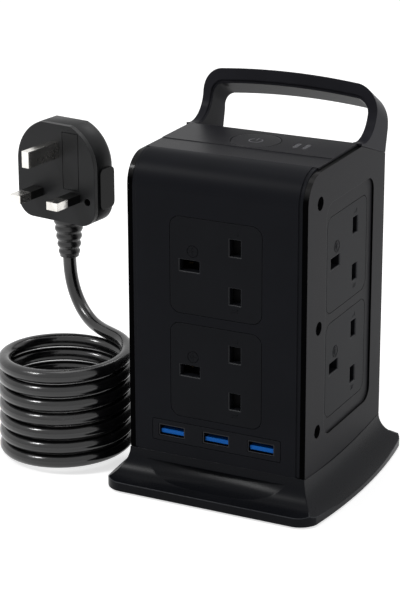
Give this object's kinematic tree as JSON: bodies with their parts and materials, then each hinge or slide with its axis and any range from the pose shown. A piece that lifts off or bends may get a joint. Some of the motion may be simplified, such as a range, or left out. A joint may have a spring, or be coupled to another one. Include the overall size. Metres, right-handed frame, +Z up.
{
  "type": "tower power strip",
  "caption": "Tower power strip with mains sockets on every face, USB ports, a top switch, a carrying handle, a flared base and a coiled lead with a fused plug.",
  "frame": {"origin": "on the surface that the tower stands on, under the middle of its base", "axes": "+Z up; -Y is the face with the USB ports; +X is the side to the right of that face; the lead leaves the rear at +Y and lies coiled at -X"},
  "size_m": [0.1912, 0.1763, 0.1818],
  "materials": {
    "cover_plastic": "satin black",
    "panel_plastic": "fine matt black-grey",
    "top_plastic": "satin black-grey",
    "handle_plastic": "satin black-grey",
    "base_plastic": "satin black",
    "socket_plastic": "matt black",
    "shutter_plastic": "plain dark grey",
    "carrier_plastic": "plain off-white",
    "contact_brass": "stamped",
    "port_steel": "bright",
    "port_blue": "plain blue",
    "board_green": "lacquered",
    "transformer_yellow": "taped",
    "component_dark": "sleeved",
    "component_blue": "dipped",
    "switch_plastic": "plain",
    "button_plastic": "satin black-grey",
    "screw_steel": "zinc plated",
    "black_screw": "blackened",
    "lens_clear": "clear light pipe",
    "foot_rubber": "matt",
    "wire_brown": "plain",
    "wire_blue": "plain",
    "wire_green": "green and yellow",
    "cord_vinyl": "glossy black vinyl",
    "plug_plastic": "fine matt black",
    "grip_gloss": "gloss black",
    "pin_nickel": "nickel plated",
    "sleeve_black": "plain",
    "fuse_ceramic": "ceramic with plated caps"
  },
  "bodies": {
    "tower": {"front_cover": "cover_plastic", "rear_cover": "cover_plastic", "left_side_panel": "panel_plastic", "right_side_panel": "panel_plastic", "top_plate": "top_plastic", "handle": "handle_plastic", "base_skirt": "base_plastic", "base_plate": "base_plastic", "rubber_feet": "foot_rubber", "socket_front_upper": "socket_plastic", "socket_front_lower": "socket_plastic", "socket_right_upper": "socket_plastic", "socket_right_lower": "socket_plastic", "socket_rear_upper": "socket_plastic", "socket_rear_lower": "socket_plastic", "socket_left_upper": "socket_plastic", "socket_left_lower": "socket_plastic", "contact_carriers": "carrier_plastic", "live_contacts": "contact_brass", "neutral_contacts": "contact_brass", "earth_contacts": "contact_brass", "usb_plate": "cover_plastic", "usb_shells": "port_steel", "usb_tongues": "port_blue", "usb_board": "board_green", "usb_transformer": "transformer_yellow", "usb_capacitors": "component_dark", "power_switch": "switch_plastic", "button_spring": "screw_steel", "indicator_lenses": "lens_clear", "indicator_board": "board_green", "surge_board": "board_green", "varistors": "component_blue", "side_screws": "black_screw", "base_screws": "screw_steel", "live_wire": "wire_brown", "neutral_wire": "wire_blue", "earth_wire": "wire_green", "cord_gland": "cord_vinyl", "cord_lead": "cord_vinyl", "cord_coil": "cord_vinyl", "cord_upright": "cord_vinyl", "plug_strain_relief": "cord_vinyl", "plug_body": "plug_plastic", "plug_face": "plug_plastic", "plug_grips": "grip_gloss", "plug_pins": "pin_nickel", "pin_sleeves": "sleeve_black", "plug_screw": "black_screw"},
    "button": {"power_button": "button_plastic"},
    "fuse_drawer": {"fuse_carrier": "plug_plastic", "fuse": "fuse_ceramic"},
    "shutter_front_upper_slide": {"shutter_front_upper": "shutter_plastic"},
    "shutter_front_lower_slide": {"shutter_front_lower": "shutter_plastic"},
    "shutter_right_upper_slide": {"shutter_right_upper": "shutter_plastic"},
    "shutter_right_lower_slide": {"shutter_right_lower": "shutter_plastic"},
    "shutter_rear_upper_slide": {"shutter_rear_upper": "shutter_plastic"},
    "shutter_rear_lower_slide": {"shutter_rear_lower": "shutter_plastic"},
    "shutter_left_upper_slide": {"shutter_left_upper": "shutter_plastic"},
    "shutter_left_lower_slide": {"shutter_left_lower": "shutter_plastic"}
  },
  "joints": [
    {"name": "button_press", "type": "slide", "parent": "tower", "child": "button", "axis": [0, 0, -1], "range_m": [0, 0.002], "stiffness_N_per_m": 300, "springref_m": -0.001, "deforming": ["button_spring"]},
    {"name": "fuse_drawer_pull", "type": "slide", "parent": "tower", "child": "fuse_drawer", "axis": [-0.1392, -0.9903, 0], "range_m": [0, 0.011]},
    {"name": "shutter_front_upper_open", "type": "slide", "parent": "tower", "child": "shutter_front_upper_slide", "axis": [1, 0, 0], "range_m": [0, 0.0065], "stiffness_N_per_m": 60, "springref_m": -0.003},
    {"name": "shutter_front_lower_open", "type": "slide", "parent": "tower", "child": "shutter_front_lower_slide", "axis": [1, 0, 0], "range_m": [0, 0.0065], "stiffness_N_per_m": 60, "springref_m": -0.003},
    {"name": "shutter_right_upper_open", "type": "slide", "parent": "tower", "child": "shutter_right_upper_slide", "axis": [0, 1, 0], "range_m": [0, 0.0065], "stiffness_N_per_m": 60, "springref_m": -0.003},
    {"name": "shutter_right_lower_open", "type": "slide", "parent": "tower", "child": "shutter_right_lower_slide", "axis": [0, 1, 0], "range_m": [0, 0.0065], "stiffness_N_per_m": 60, "springref_m": -0.003},
    {"name": "shutter_rear_upper_open", "type": "slide", "parent": "tower", "child": "shutter_rear_upper_slide", "axis": [-1, 0, 0], "range_m": [0, 0.0065], "stiffness_N_per_m": 60, "springref_m": -0.003},
    {"name": "shutter_rear_lower_open", "type": "slide", "parent": "tower", "child": "shutter_rear_lower_slide", "axis": [-1, 0, 0], "range_m": [0, 0.0065], "stiffness_N_per_m": 60, "springref_m": -0.003},
    {"name": "shutter_left_upper_open", "type": "slide", "parent": "tower", "child": "shutter_left_upper_slide", "axis": [0, -1, 0], "range_m": [0, 0.0065], "stiffness_N_per_m": 60, "springref_m": -0.003},
    {"name": "shutter_left_lower_open", "type": "slide", "parent": "tower", "child": "shutter_left_lower_slide", "axis": [0, -1, 0], "range_m": [0, 0.0065], "stiffness_N_per_m": 60, "springref_m": -0.003}
  ]
}
